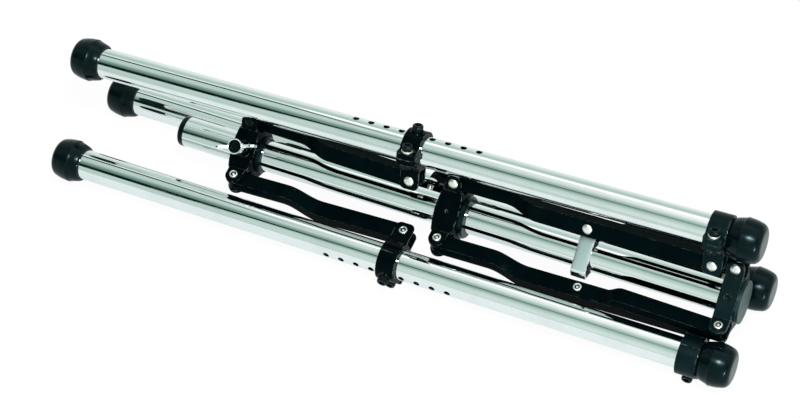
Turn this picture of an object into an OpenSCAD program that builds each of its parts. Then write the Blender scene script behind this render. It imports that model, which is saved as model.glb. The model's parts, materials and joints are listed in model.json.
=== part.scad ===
// Folding conga stand, lying down and folded. Three leg tubes hang on a centre tube.
// Each leg has a long arm and a short link that cross at a rivet, and an upper arm.
// X runs along the centre tube toward the feet, Z is up. All sizes are in millimetres.

/* [Tubes] */
// Outside diameter of the centre tube and of the legs
tube_d = 28.6; // [26:0.1:30]
// Wall of every tube
tube_wall = 1.6; // [1:0.1:2.5]
// Length of the centre tube
centre_len = 554; // [540:1:580]
// Length of a leg tube without its caps
leg_len = 668; // [640:1:720]
// How far the leg tube reaches past the low clamp's pivot, toward the foot
leg_past_pivot = 34; // [32:0.5:60]

/* [Linkage] */
// Distance of the hub pivots from the centre line
hub_pivot_r = 35; // [33:0.5:40]
// Short link, from the end hub's pivot to the scissor rivet
link_len = 134.5; // [126:0.5:140]
// How far the low clamps' pivots lie behind the end hub's pivots, folded
clamp_setback = 18; // [17.5:0.5:26]
// Upper arm, from the top hub's pivot to the mid clamp's pivot
upper_len = 169.7; // [160:0.1:180]
// Distance along a leg between its two clamp pivots
clamp_spacing = 289; // [280:1:300]
// Distance of the clamp pivots from the centre line, folded
folded_pivot_r = 29.6; // [29:0.1:33]
// The same distance at leg A's low clamp, which rests on its play
leg_a_pivot_r = 38.7; // [34:0.1:40]
// Lean of leg A against the centre tube, from the same play
leg_a_lean = 1.4; // [0:0.1:1.5]
// Sideways step from the hubs' ears to the leg beside them
side_step = 14.5; // [14:0.1:17]

/* [Arms] */
// Width of the pressed arms
arm_w = 12; // [11:0.1:12.4]
// Depth of the arms at the hubs
arm_hub_depth = 14; // [12:0.5:14.5]
// Depth of the arms at the clamps
arm_clamp_depth = 16; // [14.5:0.5:17]
// Sheet thickness of the arms
arm_sheet = 1.8; // [1.2:0.1:2.4]
// Where the side step starts, from the hub's pivot
step_start = 52; // [44:1:58]
// Where the side step ends
step_end = 86; // [78:1:96]
// Where the short link starts to step toward the long arm, from its hub pivot
link_step_start = 92; // [84:1:98]
// Where that step ends in a single sheet
link_step_end = 112; // [106:1:118]
// Length of the slots at the arms' hub ends, past the pin each way
slot_play = 2.7; // [2.6:0.1:3]
// Room across the slots of leg A's arms, whose pivots carry its play
slot_rise = 1.2; // [1:0.1:1.5]

/* [Hubs] */
// Width of the runner and of the top hub along the tube
hub_w = 24; // [21:0.5:25]
// Width of the end hub along the tube
end_hub_w = 17; // [16:0.5:20]
// How much narrower the runner's and the top hub's flats get toward the ears
hub_bow = 5; // [1:0.5:6]
// Thickness of an ear
ear_t = 3.2; // [2.6:0.1:4]
// Radius of an ear's rounded end
ear_r = 8; // [7:0.1:8.5]
// Height of the corners where the flats meet the ears
flat_corner = 27; // [26:0.5:28]
// Depth at which the slot for an arm ends, from the centre line
slot_floor = 24; // [22:0.5:24.5]
// Diameter of the runner's bush
runner_bush_d = 40; // [38:0.5:42]
// Diameter of the top hub's bush
top_bush_d = 35; // [34:0.5:40]
// Width of the bushes along the tube
bush_w = 4.5; // [3:0.5:6]
// Width of the stop band
band_w = 14; // [10:1:16]
// Thickness of the stop band
band_t = 2; // [1.6:0.1:2.2]
// Radius of the stop band's corners
band_corner = 9; // [8.6:0.1:10]
// Gap between the opened runner and the stop band
band_gap = 2; // [1:0.5:8]
// Angle that the long arms turn, from folded to open
fold_travel = 54; // [45:1:55]
// How deep the plugs at the centre tube's ends go into it
plug_depth = 14; // [8:1:30]
// Diameter of the disc at the foot end of the centre tube
disc_d = 40; // [36:1:42]
// Thickness of that disc
disc_t = 3.2; // [2:0.2:5]

/* [Clamps] */
// Width of the clamps along the leg
clamp_w = 18; // [16:0.5:18]
// Offset of the clamp's ring and bolts from its pivot, toward the foot
clamp_shift = 1; // [0:0.1:1.2]
// Wall of the clamp around the leg
clamp_wall = 4; // [3:0.1:4.6]
// Drop from the leg's centre to the clamp's pivot
clamp_drop = 29.5; // [28.5:0.1:32]
// Height of the joint between strap and saddle, above the leg's centre
split_z = 0.8; // [0:0.1:2]
// Thickness of each clamping lug
lug_t = 5.5; // [4:0.5:6.5]
// Reach of the lugs from the leg's centre
lug_reach = 27; // [26.5:0.1:28]
// Distance of the clamp bolt from the leg's centre
bolt_offset = 20.8; // [20.4:0.1:21.2]
// Thickness of a clamp's ears
clamp_ear_t = 1.8; // [1.4:0.1:1.8]
// Radius of a clamp ear's corners
clamp_ear_corner = 5; // [3:0.5:6]
// Reach of the clamp ears past the pivot
clamp_ear_reach = 8.6; // [8.5:0.1:9]
// Height of the set bolt's seat above the leg's centre
seat_top = 18.6; // [18.4:0.1:20]

/* [Fasteners] */
// Shank diameter of pins and bolts
pin_d = 6; // [5:0.1:6.2]
// Diameter of the pins' domed heads
head_d = 9.6; // [9:0.1:11]
// Diameter of the pins' hollow ends
hollow_d = 8; // [7.8:0.1:9]
// Height of a domed pin head
dome_h = 2.4; // [1.6:0.1:3]
// Diameter of the bolts' socket heads
socket_d = 10; // [9.5:0.1:10.4]
// Height of the bolts' socket heads
socket_h = 6; // [5:0.1:8]
// Key size of the sockets
key_af = 5; // [3:0.5:6]
// Washer diameter
washer_d = 12; // [11.5:0.1:12.4]
// Washer thickness
washer_t = 1.4; // [1:0.1:2]
// Nut size across flats
nut_af = 9.8; // [9:0.1:10]
// Nut thickness
nut_t = 5; // [4:0.1:6]

/* [Height holes] */
// Number of holes to each side of the mid clamp
holes_each_side = 4; // [2:1:6]
// Spacing of the holes
hole_pitch = 15.2; // [12:0.1:18]
// Diameter of the holes
hole_d = 6; // [5:0.1:7]

/* [Caps] */
// Largest diameter of the rubber caps
cap_d = 40.4; // [38:0.1:40.6]
// From the ridge of a cap to its end face
cap_len = 18.5; // [16:0.5:24]
// From the ridge back to the mouth of the cap
cap_skirt = 11; // [8:0.5:11]
// Diameter at the mouth
cap_mouth_d = 32; // [31:0.5:34]
// Diameter of the flat end face
cap_face_d = 23; // [20:0.5:26]
// Radius of the shoulder round that face
cap_round = 7; // [5:0.5:8]
// How deep the tube sits past the ridge
cap_seat = 11.7; // [8:0.1:13]

/* [Wing screw] */
// Span of the wings
wing_span = 42; // [36:1:48]
// Thickness of the wings
wing_t = 4.6; // [3:0.1:6]
// Height of the wings
wing_h = 13; // [10:0.5:16]
// Diameter of the wing screw's barrel
wing_barrel_d = 13; // [11:0.5:15]
// Distance of the barrel's base from the centre line
wing_base = 33; // [31:0.5:36]
// Turn of the wings against the tube
wing_turn = 17; // [0:1:45]

/* [Fits] */
// Radial clearance of running fits
run_fit = 0.06; // [0.03:0.01:0.09]
// Side clearance of an arm in its fork
fork_gap = 0.4; // [0.3:0.05:0.6]
// Gap that keeps pieces of different bodies apart
air = 0.3; // [0.2:0.05:0.4]

/* [Hidden] */
$fn = 64;
tube_r = tube_d / 2;
pin_r = pin_d / 2;
fork_half = arm_w / 2 + fork_gap;
ear_half = fork_half + ear_t;
set_angle = atan(side_step / (folded_pivot_r + clamp_drop));
leg_circle = norm([side_step, folded_pivot_r + clamp_drop]);
arm_past_rivet = link_len - clamp_setback;
arm_len = link_len + arm_past_rivet;

// One entry per leg: a lies on top, b and c lie on the floor.
A = 0;
B = 2;
C = 1;
low_r = [leg_a_pivot_r, folded_pivot_r, folded_pivot_r];
lean = [leg_a_lean, 0, 0];
arm_angle = [for (r = low_r) asin((r - hub_pivot_r) / arm_len)];
mid_r = [for (i = [A, C, B]) low_r[i] - clamp_spacing * sin(lean[i])];
upper_angle = [for (r = mid_r) asin((r - hub_pivot_r) / upper_len)];
low_x = [for (a = arm_angle) (arm_past_rivet - link_len) * cos(a)];
mid_x = [for (i = [A, C, B]) low_x[i] - clamp_spacing * cos(lean[i])];
rivet_x = [for (a = arm_angle) -link_len * cos(a)];
rivet_r = [for (a = arm_angle) hub_pivot_r + link_len * sin(a)];
runner_x = -2 * link_len * cos(arm_angle[C]);
top_x = mid_x[C] - upper_len * cos(upper_angle[C]);
open_runner_x = -2 * link_len * cos(arm_angle[C] + fold_travel);
// How far the rounded corners stand past the flats that they run into.
corner_lap = 0.02;
band_x = open_runner_x + hub_w / 2 + bush_w + band_gap + band_w / 2;

// The clamp's outline around the leg and the bolts on it.
ring_r = tube_r + clamp_wall;
lug_top = split_z + lug_t;
lug_bottom = split_z - lug_t;
bolt_top = lug_top + washer_t + socket_h;
set_bolt_top = seat_top + socket_h;
clamp_half = fork_half + clamp_ear_t;
tab_near = side_step - arm_w / 2 - air;
tab_far = tab_near - arm_sheet;

// Lying down, the stand rests on leg C's clamp lugs and on leg B's set bolt.
function below(leg, turn, out, side) = leg_circle * sin(90 + 120 * leg + turn)
    + out * sin(90 - set_angle + 120 * leg + turn)
    + side * sin(180 - set_angle + 120 * leg + turn);
function rests_c(turn) = below(C, turn, bolt_top, bolt_offset + socket_d / 2);
function rests_b(turn) = below(B, turn, set_bolt_top, -socket_d / 2);
function level(lo, hi, n) = n == 0 ? (lo + hi) / 2
    : rests_c((lo + hi) / 2) > rests_b((lo + hi) / 2)
    ? level((lo + hi) / 2, hi, n - 1)
    : level(lo, (lo + hi) / 2, n - 1);
lie_turn = level(-12, 8, 20);
floor_z = rests_c(lie_turn);

// The frame's origin lies under the middle of the whole stand.
function across(leg, out, side) = leg_circle * cos(90 + 120 * leg + lie_turn)
    + out * cos(90 - set_angle + 120 * leg + lie_turn)
    + side * cos(180 - set_angle + 120 * leg + lie_turn);
front_y = across(C, set_bolt_top, -socket_d / 2);
back_y = across(B, bolt_top, bolt_offset + socket_d / 2);
foot_end = leg_past_pivot - cap_seat + cap_len;
cap_mouth_x = low_x[C] + leg_past_pivot - cap_seat - cap_skirt;
top_end = leg_past_pivot - leg_len + cap_seat - cap_len;
tip_x = low_x[A] + (top_end + cap_round) * cos(leg_a_lean) - cap_round
    - (clamp_drop + cap_face_d / 2) * sin(leg_a_lean);
origin_x = (low_x[C] + foot_end + tip_x) / 2;
origin_y = (front_y + back_y) / 2;

module to_frame() translate([-origin_x, -origin_y, -floor_z]) children();
module in_leg(leg) to_frame() rotate([lie_turn - set_angle + 120 * leg, 0, 0]) children();
module on_leg(leg) in_leg(leg) translate([low_x[leg], 0, low_r[leg]]) rotate([0, -lean[leg], 0])
    children();
module at_clamp(x) translate([x, -side_step, clamp_drop]) children();

// Extrusions along X, Y and Z of a drawing.
module along_x(len) rotate([90, 0, 90]) linear_extrude(len, center = true) children();
module along_y(len) rotate([90, 0, 0]) linear_extrude(len, center = true) children();
module rod_x(r, from, to) translate([from, 0, 0]) rotate([0, 90, 0]) cylinder(r = r, h = to - from);
module rod_y(r, from, to) translate([0, to, 0]) rotate([90, 0, 0]) cylinder(r = r, h = to - from);
module rod_z(r, from, to) translate([0, 0, from]) cylinder(r = r, h = to - from);

module hex_socket(depth) translate([0, 0, -depth])
    cylinder(r = key_af / 2 / cos(30), h = depth + 1, $fn = 6);

module socket_bolt(top, tip) {
    difference() {
        union() {
            rod_z(socket_d / 2, top - socket_h, top);
            rod_z(pin_r, tip, top - socket_h);
        }
        translate([0, 0, top]) hex_socket(socket_h / 2);
    }
}

// A pin through a fork: a domed head on the near side, a hollow end on the far side.
module fork_pin(half) {
    far_head = dome_h * 0.9;
    difference() {
        union() {
            rod_y(pin_r, -half, half);
            rod_y(hollow_d / 2, half, half + far_head);
        }
        translate([0, half + far_head, 0]) rotate([-90, 0, 0]) hex_socket(far_head * 0.7);
    }
    pin_dome(half);
}

module pin_dome(half) {
    dome_r = (pow(head_d / 2, 2) + pow(dome_h, 2)) / 2 / dome_h;
    intersection() {
        translate([0, -half - dome_h + dome_r, 0]) sphere(r = dome_r);
        rod_y(head_d / 2, -half - dome_h - 1, -half);
    }
}

// Pressed channel arm, open toward the centre tube, with a sideways step.
function step_y(u, side) = u <= step_start ? 0
    : u >= step_end ? -side
    : -side * (1 - cos(180 * (u - step_start) / (step_end - step_start))) / 2;
function step_line(len, side, half) = concat(
    [[-arm_hub_depth, half]],
    [for (i = [0:8]) let (u = step_start + (step_end - step_start) * i / 8) [u, half + step_y(u, side)]],
    [[len + arm_clamp_depth, half - side]]);
function back(points) = [for (i = [len(points) - 1:-1:0]) points[i]];

arm_reach = side_step + arm_w;

module arm_plan(len, side, half)
    polygon(concat(step_line(len, side, half), back(step_line(len, side, -half))));

module arm_side(len, end_depth) {
    rod_y(arm_hub_depth / 2, -arm_reach, arm_reach);
    translate([len, 0, 0]) rod_y(end_depth / 2, -arm_reach, arm_reach);
    along_y(2 * arm_reach) polygon([[0, arm_hub_depth / 2], [step_start, arm_hub_depth / 2],
        [step_end, end_depth / 2], [len, end_depth / 2], [len, -end_depth / 2],
        [step_end, -end_depth / 2], [step_start, -arm_hub_depth / 2], [0, -arm_hub_depth / 2]]);
}

module arm_hollow(len, end_depth)
    polygon([[-arm_hub_depth, arm_hub_depth / 2 - arm_sheet],
        [step_start, arm_hub_depth / 2 - arm_sheet], [step_end, end_depth / 2 - arm_sheet],
        [len + end_depth, end_depth / 2 - arm_sheet], [len + end_depth, -end_depth],
        [-arm_hub_depth, -end_depth]]);

module arm_channel(len, end_depth, side) difference() {
    intersection() {
        arm_side(len, end_depth);
        linear_extrude(2 * arm_reach, center = true) arm_plan(len, side, arm_w / 2);
    }
    intersection() {
        along_y(2 * arm_reach) arm_hollow(len, end_depth);
        linear_extrude(2 * arm_reach, center = true) arm_plan(len, side, arm_w / 2 - arm_sheet);
    }
}

module arm_hole(x, room = run_fit) translate([x, 0, 0])
    rod_y(pin_r + room, -arm_reach, arm_reach);
module arm_slot(leg) {
    room = leg == A ? slot_rise : run_fit;
    arm_hole(-slot_play, room);
    arm_hole(slot_play, room);
    translate([-slot_play, -arm_w, -pin_r - room])
        cube([2 * slot_play, 2 * arm_w, 2 * (pin_r + room)]);
}

// Hubs: a block with three flats round the tube and three forks for the arms.
function turned(y, z, a) = [y * cos(a) - z * sin(a), y * sin(a) + z * cos(a)];
hub_corners = [for (i = [0:2]) for (s = [1, -1]) turned(s * ear_half, flat_corner, 120 * i)];
flat_r = flat_corner * cos(60) + ear_half * sin(60);
corner_r = norm([ear_half, flat_corner]) + 0.5;

// The flats narrow toward the ears, between two cones.
module hub_flats(width, bow) intersection() {
    along_x(width) polygon(hub_corners);
    rotate([0, 90, 0]) rotate_extrude() polygon([[0, -width / 2], [flat_r - 1, -width / 2],
        [corner_r, (bow - width) / 2], [corner_r, (width - bow) / 2], [flat_r - 1, width / 2],
        [0, width / 2]]);
}

module hub_block(width, bow) {
    difference() {
        union() {
            hub_flats(width, bow);
            for (i = [0:2]) rotate([120 * i, 0, 0]) along_y(2 * ear_half) {
                translate([0, hub_pivot_r]) circle(r = ear_r);
                translate([-ear_r, tube_r]) square([2 * ear_r, hub_pivot_r - tube_r]);
            }
        }
        rod_x(tube_r + run_fit, -width, width);
        for (i = [0:2]) rotate([120 * i, 0, 0]) {
            translate([-width, -fork_half, slot_floor]) cube([2 * width, 2 * fork_half, hub_pivot_r]);
            translate([0, 0, hub_pivot_r]) rod_y(pin_r + run_fit, -2 * ear_half, 2 * ear_half);
        }
    }
}

module hub_pins() for (i = [0:2]) rotate([120 * i, 0, 0]) translate([0, 0, hub_pivot_r])
    fork_pin(ear_half);

module bush(d, from) {
    chamfer = bush_w / 4;
    translate([from, 0, 0]) rotate([0, 90, 0]) rotate_extrude()
        polygon([[tube_r + run_fit, 0], [d / 2, 0], [d / 2, bush_w - chamfer],
            [d / 2 - chamfer, bush_w], [tube_r + run_fit, bush_w]]);
}

module in_middle(x) to_frame() translate([x, 0, 0]) rotate([lie_turn - set_angle, 0, 0]) children();

// Centre tube and the pieces fixed on it.
module centre_tube() color("gainsboro") in_middle(end_hub_w / 2 - centre_len) difference() {
    rod_x(tube_r, 0, centre_len);
    rod_x(tube_r - tube_wall, -1, centre_len + 1);
}

module centre_tube_plug() color("dimgray") in_middle(end_hub_w / 2 - centre_len) {
    rod_x(tube_r, -3, 0);
    rod_x(tube_r - tube_wall - run_fit, 0, plug_depth);
}

module end_disc() color("slategray") in_middle(end_hub_w / 2) {
    rod_x(disc_d / 2 - 1, 0, disc_t - 1);
    translate([disc_t - 1, 0, 0]) rotate([0, 90, 0]) cylinder(r = disc_d / 2, h = 1);
    rod_x(tube_r - tube_wall - run_fit, -plug_depth, 0);
}

// The ear beside each foot is relieved for the rubber cap.
module end_hub() color("black") in_middle(0) difference() {
    hub_block(end_hub_w, 1);
    rotate([60, 0, 0]) rod_z(pin_r + run_fit, 0, 2 * flat_r);
    for (i = [0:2]) rotate([120 * i, 0, 0])
        translate([cap_mouth_x - air, -side_step, folded_pivot_r + clamp_drop])
        rod_x(cap_d / 2 + air, 0, 2 * end_hub_w);
}

module end_hub_set_screw() color("dimgray") in_middle(0) rotate([60, 0, 0]) difference() {
    rod_z(pin_r, tube_r + run_fit, flat_r - 0.8);
    translate([0, 0, flat_r - 0.8]) cylinder(r = pin_r * 0.55, h = 5, $fn = 6, center = true);
}

module end_hub_pins() color("ivory") in_middle(0) hub_pins();

module band_outline(r) {
    corner = band_corner - (tube_r + band_t - r);
    side = (r - corner) * tan(60);
    polygon([for (i = [0:2]) for (s = [1, -1]) turned(s * side, r, 60 + 120 * i)]);
    for (i = [0:2]) rotate(120 * i) translate([0, 2 * (r - corner)]) circle(r = corner + corner_lap);
}

module stop_band() color("silver") in_middle(band_x) along_x(band_w) difference() {
    band_outline(tube_r + band_t);
    band_outline(tube_r + 0.02);
}

// Runner and top hub, which slide on the centre tube.
module lower_runner() color("black") in_middle(runner_x) difference() {
    hub_block(hub_w, hub_bow);
    for (i = [0:2]) rotate([60 + 120 * i, 0, 0]) rod_z(1.3, flat_r - 0.7, 2 * flat_r);
}

module runner_bush() color("dimgray") in_middle(runner_x) bush(runner_bush_d, hub_w / 2);

module runner_pins() color("ivory") in_middle(runner_x) hub_pins();

module top_hub() color("black") in_middle(top_x) difference() {
    union() {
        hub_block(hub_w, hub_bow);
        rotate([60, 0, 0]) rod_z(wing_barrel_d / 2 + 1, tube_r + 2, wing_base - air - 2);
    }
    rotate([60, 0, 0]) rod_z(pin_r + run_fit, 0, 2 * hub_pivot_r);
}

module top_hub_bush() color("dimgray") in_middle(top_x) bush(top_bush_d, hub_w / 2);

module top_hub_pins() color("ivory") in_middle(top_x) hub_pins();

module wing_outline() {
    tip = wing_h * 0.36;
    for (s = [-1, 1]) {
        translate([s * (wing_span / 2 - tip), wing_h - tip]) circle(r = tip);
        polygon([[0, 0], [0, wing_h * 0.62], [s * wing_span / 4, wing_h * 0.7],
            [s * (wing_span / 2 - tip), wing_h], [s * wing_span / 2, wing_h - tip],
            [s * wing_barrel_d / 2, 0]]);
    }
}

module wing_screw() color("silver") in_middle(top_x) rotate([60, 0, 0]) rotate([0, 0, wing_turn])
    difference() {
        union() {
            rod_z(pin_r, tube_r + air, wing_base);
            rod_z(wing_barrel_d / 2, wing_base, wing_base + wing_h * 0.8);
            translate([0, 0, wing_base]) along_y(wing_t) wing_outline();
        }
        rod_z(wing_barrel_d * 0.36, wing_base + wing_h * 0.45, wing_base + 2 * wing_h);
    }

// A leg: its tube, the two rubber caps and the two clamps.
module leg_tube(leg) color("gainsboro") on_leg(leg) at_clamp(leg_past_pivot - leg_len) difference() {
    rod_x(tube_r, 0, leg_len);
    rod_x(tube_r - tube_wall, -1, leg_len + 1);
    for (i = [-holes_each_side:holes_each_side])
        translate([leg_len - leg_past_pivot - clamp_spacing + clamp_shift + i * hole_pitch, 0, 0])
            rod_z(hole_d / 2, tube_r / 2, 2 * tube_r);
}

// A cap's side runs from its ridge to the shoulder round its end face.
module rubber_cap() {
    shoulder = [cap_face_d / 2, cap_len - cap_round];
    side = [cap_d / 2, 0.8] - shoulder;
    meet = atan2(side[1], side[0]) + acos(cap_round / norm(side)) - 4;
    rotate([0, 90, 0]) rotate_extrude() difference() {
        union() {
            polygon([[0, -cap_skirt], [cap_mouth_d / 2, -cap_skirt],
                [cap_mouth_d / 2 + 1.2, 1.5 - cap_skirt], [cap_d / 2 - 0.6, -1], [cap_d / 2, 0],
                [cap_d / 2, 0.8], shoulder + cap_round * [cos(meet), sin(meet)],
                [shoulder[0], cap_len], [0, cap_len]]);
            translate(shoulder) circle(r = cap_round);
        }
        translate([-1, -cap_skirt - 1]) square([tube_r + 1.02, cap_skirt + 1.02 + cap_seat]);
    }
}

module foot(leg) color("darkslategray") on_leg(leg) at_clamp(leg_past_pivot - cap_seat) rubber_cap();

module top_tip(leg) color("darkslategray") on_leg(leg) at_clamp(leg_past_pivot - leg_len + cap_seat)
    mirror([1, 0, 0]) rubber_cap();

module half_ring(upper) translate([clamp_shift, 0, 0]) along_x(clamp_w) intersection() {
    circle(r = ring_r);
    translate([-ring_r, upper ? split_z : split_z - 2 * ring_r]) square([2 * ring_r, 2 * ring_r]);
}

module lug(from, to) {
    corner = 4;
    translate([clamp_shift, 0, from]) linear_extrude(to - from) {
        translate([-clamp_w / 2, -lug_reach + corner]) square([clamp_w, lug_reach - corner - tube_r / 2]);
        translate([-clamp_w / 2 + corner, -lug_reach]) square([clamp_w - 2 * corner, corner]);
        for (s = [-1, 1]) translate([s * (clamp_w / 2 - corner), -lug_reach + corner]) circle(r = corner);
    }
}

// The bore for the leg, the bolt's hole and the seats of its washer and nut.
module clamp_cuts(r) {
    rod_x(tube_r + run_fit, -clamp_w, clamp_w);
    translate([clamp_shift, -bolt_offset, 0]) {
        rod_z(r, -2 * ring_r, 2 * ring_r);
        rod_z(washer_d / 2 + air, lug_top, 2 * ring_r);
        rod_z(nut_af / 2 / cos(30) + air, -2 * ring_r, lug_bottom);
    }
}

module strap(with_seat) difference() {
    union() {
        half_ring(true);
        lug(split_z, lug_top);
        if (with_seat) translate([clamp_shift, 0, 0]) rod_z(socket_d / 2 + 1, tube_r + 1, seat_top);
    }
    clamp_cuts(pin_r + 0.2);
    if (with_seat) translate([clamp_shift, 0, 0]) rod_z(pin_r + run_fit, 0, 2 * seat_top);
}

module saddle() {
    ear_end = clamp_drop + clamp_ear_reach;
    c = clamp_ear_corner;
    difference() {
        union() {
            half_ring(false);
            lug(lug_bottom, split_z);
            along_y(2 * clamp_half) {
                translate([-clamp_w / 2, c - ear_end]) square([clamp_w, ear_end - c - tube_r / 2]);
                translate([c - clamp_w / 2, -ear_end]) square([clamp_w - 2 * c, c]);
                for (s = [-1, 1]) translate([s * (clamp_w / 2 - c), c - ear_end]) circle(r = c);
            }
        }
        clamp_cuts(pin_r + 0.2);
        translate([-clamp_w, -fork_half, -2 * ear_end])
            cube([2 * clamp_w, 2 * fork_half, 2 * ear_end - ring_r - air]);
        translate([0, 0, -clamp_drop]) rod_y(pin_r + run_fit, -2 * ear_half, 2 * ear_half);
    }
}

module clamp_bolt() translate([clamp_shift, -bolt_offset, 0]) {
    socket_bolt(bolt_top, lug_bottom);
    difference() {
        rod_z(washer_d / 2, lug_top, lug_top + washer_t);
        rod_z(pin_r, 0, 2 * lug_top);
    }
    rotate([0, 0, 30]) translate([0, 0, lug_bottom - nut_t])
        cylinder(r = nut_af / 2 / cos(30), h = nut_t, $fn = 6);
}

module low_strap(leg) color("black") on_leg(leg) at_clamp(0) strap(false);
module low_saddle(leg) color("black") on_leg(leg) at_clamp(0) saddle();
module mid_strap(leg) color("black") on_leg(leg) at_clamp(-clamp_spacing) strap(true);
module mid_saddle(leg) color("black") on_leg(leg) at_clamp(-clamp_spacing) saddle();

module clamp_bolts(leg) color("dimgray") on_leg(leg) {
    for (x = [0, -clamp_spacing]) at_clamp(x) clamp_bolt();
    at_clamp(clamp_shift - clamp_spacing) socket_bolt(set_bolt_top, tube_r + air);
}

// The low pin is flush on the side of the short link, which passes close by.
module clamp_pins(leg) color("ivory") on_leg(leg) {
    translate([-clamp_spacing, -side_step, 0]) fork_pin(clamp_half);
    translate([0, -side_step, 0]) {
        rod_y(pin_r, -clamp_half, clamp_half);
        pin_dome(clamp_half);
    }
}

// Arms and links.
module long_arm(leg) color("black") in_leg(leg)
    translate([rivet_x[leg], 0, rivet_r[leg]]) rotate([0, -arm_angle[leg], 0])
    translate([-link_len, 0, 0]) difference() {
        arm_channel(arm_len, arm_clamp_depth, side_step);
        arm_slot(leg);
        arm_hole(link_len);
        arm_hole(arm_len);
    }

// The short link's rivet end is a single sheet beside the long arm.
function link_edge(from, to, inset, steps) = concat(
    [[-arm_hub_depth, from - inset]],
    [for (i = [0:steps]) let (ease = (1 - cos(180 * i / 8)) / 2)
        [link_step_start + (link_step_end - link_step_start) * i / 8, from + (to - from) * ease - inset]],
    steps == 8 ? [[link_len + arm_hub_depth, to - inset]] : []);

module link_plan(inset, steps) polygon(concat(link_edge(arm_w / 2, tab_near, inset, steps),
    back(link_edge(-arm_w / 2, tab_far, -inset, steps))));

module short_link(leg) color("black") in_leg(leg) translate([0, 0, hub_pivot_r])
    rotate([0, arm_angle[leg], 0]) rotate([0, 0, 180]) difference() {
        intersection() {
            arm_side(link_len, arm_hub_depth);
            linear_extrude(2 * arm_reach, center = true) link_plan(0, 8);
        }
        intersection() {
            along_y(2 * arm_reach) arm_hollow(link_len, arm_hub_depth);
            linear_extrude(2 * arm_reach, center = true) link_plan(arm_sheet, 5);
        }
        arm_hole(0);
        arm_hole(link_len);
    }

module scissor_rivet(leg) color("ivory") in_leg(leg) translate([rivet_x[leg], 0, rivet_r[leg]]) {
    near = side_step + arm_w / 2 + air;
    translate([0, -(near + tab_far) / 2, 0]) fork_pin((near - tab_far) / 2);
}

module upper_arm(leg) color("black") in_leg(leg) translate([mid_x[leg], 0, mid_r[leg]])
    rotate([0, -upper_angle[leg], 0]) translate([-upper_len, 0, 0]) difference() {
        arm_channel(upper_len, arm_clamp_depth, side_step);
        arm_slot(leg);
        arm_hole(upper_len);
    }

centre_tube();
centre_tube_plug();
end_disc();
end_hub();
end_hub_set_screw();
end_hub_pins();
stop_band();
lower_runner();
runner_bush();
runner_pins();
top_hub();
top_hub_bush();
top_hub_pins();
wing_screw();
leg_tube(A);  // leg_tube_a
leg_tube(B);  // leg_tube_b
leg_tube(C);  // leg_tube_c
foot(A);  // foot_a
foot(B);  // foot_b
foot(C);  // foot_c
top_tip(A);  // top_tip_a
top_tip(B);  // top_tip_b
top_tip(C);  // top_tip_c
low_strap(A);  // low_strap_a
low_strap(B);  // low_strap_b
low_strap(C);  // low_strap_c
low_saddle(A);  // low_saddle_a
low_saddle(B);  // low_saddle_b
low_saddle(C);  // low_saddle_c
mid_strap(A);  // mid_strap_a
mid_strap(B);  // mid_strap_b
mid_strap(C);  // mid_strap_c
mid_saddle(A);  // mid_saddle_a
mid_saddle(B);  // mid_saddle_b
mid_saddle(C);  // mid_saddle_c
clamp_bolts(A);  // clamp_bolts_a
clamp_bolts(B);  // clamp_bolts_b
clamp_bolts(C);  // clamp_bolts_c
clamp_pins(A);  // clamp_pins_a
clamp_pins(B);  // clamp_pins_b
clamp_pins(C);  // clamp_pins_c
long_arm(A);  // long_arm_a
long_arm(B);  // long_arm_b
long_arm(C);  // long_arm_c
short_link(A);  // short_link_a
short_link(B);  // short_link_b
short_link(C);  // short_link_c
scissor_rivet(A);  // scissor_rivet_a
scissor_rivet(B);  // scissor_rivet_b
scissor_rivet(C);  // scissor_rivet_c
upper_arm(A);  // upper_arm_a
upper_arm(B);  // upper_arm_b
upper_arm(C);  // upper_arm_c
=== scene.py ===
import json
import math
import bmesh
import bpy
from mathutils import Matrix, Vector


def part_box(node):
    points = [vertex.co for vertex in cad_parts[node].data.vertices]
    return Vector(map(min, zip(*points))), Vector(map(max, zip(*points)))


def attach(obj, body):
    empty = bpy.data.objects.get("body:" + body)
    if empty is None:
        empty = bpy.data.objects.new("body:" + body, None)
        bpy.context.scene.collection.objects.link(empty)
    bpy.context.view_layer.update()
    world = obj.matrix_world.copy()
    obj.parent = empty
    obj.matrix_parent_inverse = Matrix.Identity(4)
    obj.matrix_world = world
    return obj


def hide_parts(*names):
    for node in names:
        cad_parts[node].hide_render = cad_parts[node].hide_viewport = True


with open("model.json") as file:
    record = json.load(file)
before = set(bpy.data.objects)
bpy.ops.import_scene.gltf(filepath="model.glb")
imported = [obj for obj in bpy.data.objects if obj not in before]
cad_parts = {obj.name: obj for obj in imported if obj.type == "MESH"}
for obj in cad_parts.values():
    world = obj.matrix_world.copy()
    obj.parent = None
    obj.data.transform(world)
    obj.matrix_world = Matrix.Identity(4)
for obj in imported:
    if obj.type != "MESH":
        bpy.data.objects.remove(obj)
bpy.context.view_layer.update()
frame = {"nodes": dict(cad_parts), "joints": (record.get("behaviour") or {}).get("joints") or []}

# Lengths are metres. MM turns a size in millimetres into metres.
MM = 0.001
LEGS = ("a", "b", "c")
ALONG_STAND = Vector((1, 0, 0))
nodes = frame["nodes"]
joints = {j["name"]: j for j in frame["joints"]}


# Shader helpers

# Sockets of a Mix node that mixes colours.
MIX_FACTOR, MIX_LOW, MIX_HIGH, MIX_RESULT = 0, 6, 7, 2


def add(tree, kind, **values):
    """Adds a node; a value whose name is a socket sets that socket, any other sets a property."""
    node = tree.nodes.new(kind)
    for name, value in values.items():
        socket = node.inputs.get(name.replace("_", " "))
        if socket is not None and not hasattr(node, name):
            socket.default_value = value
        else:
            setattr(node, name, value)
    return node


def feed(tree, value, socket):
    """Links a socket to another node's output, or sets it to a number or a colour."""
    if isinstance(value, bpy.types.NodeSocket):
        tree.links.new(value, socket)
    else:
        socket.default_value = (*value, 1) if isinstance(value, tuple) else value


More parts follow.
